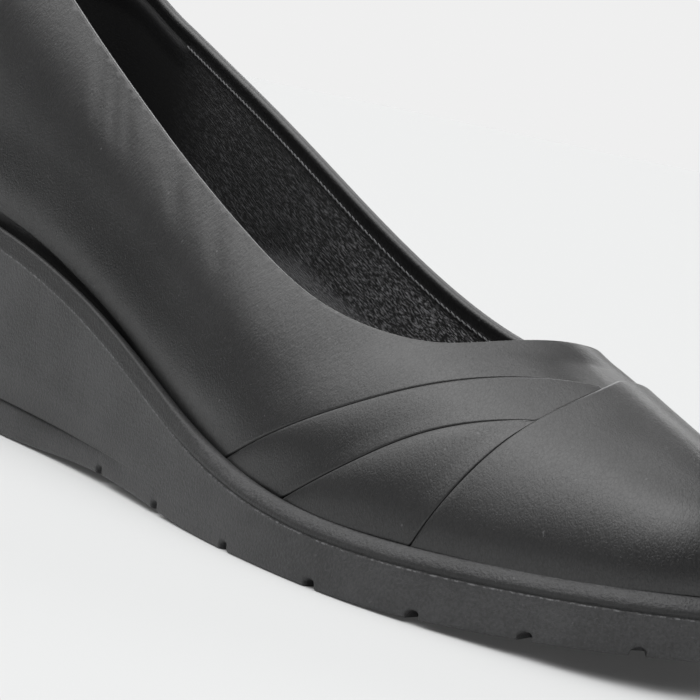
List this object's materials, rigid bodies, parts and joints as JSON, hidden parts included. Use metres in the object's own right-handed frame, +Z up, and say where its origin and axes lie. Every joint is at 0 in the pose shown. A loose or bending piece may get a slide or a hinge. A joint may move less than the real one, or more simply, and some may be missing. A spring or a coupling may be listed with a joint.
{
  "type": "wedge slip-on shoe",
  "caption": "Leather slip-on pump on a moulded wedge sole, with draped pleats on the side of its vamp and a toe overlay, open at the collar for the foot.",
  "frame": {"origin": "on the floor under the middle of the shoe's box", "axes": "+X toward the toe, +Z up, -Y toward the lateral side of this right shoe"},
  "size_m": [0.278, 0.0822, 0.1124],
  "materials": {
    "leather": "satin smooth leather",
    "overlay_leather": "satin smooth leather",
    "sole_rubber": "matte moulded",
    "footbed": "matte lining"
  },
  "bodies": {
    "root": {"wedge_sole": "sole_rubber", "insole": "footbed", "upper": "leather", "rear_pleat": "overlay_leather", "front_pleat": "overlay_leather", "toe_overlay": "overlay_leather"}
  },
  "joints": []
}
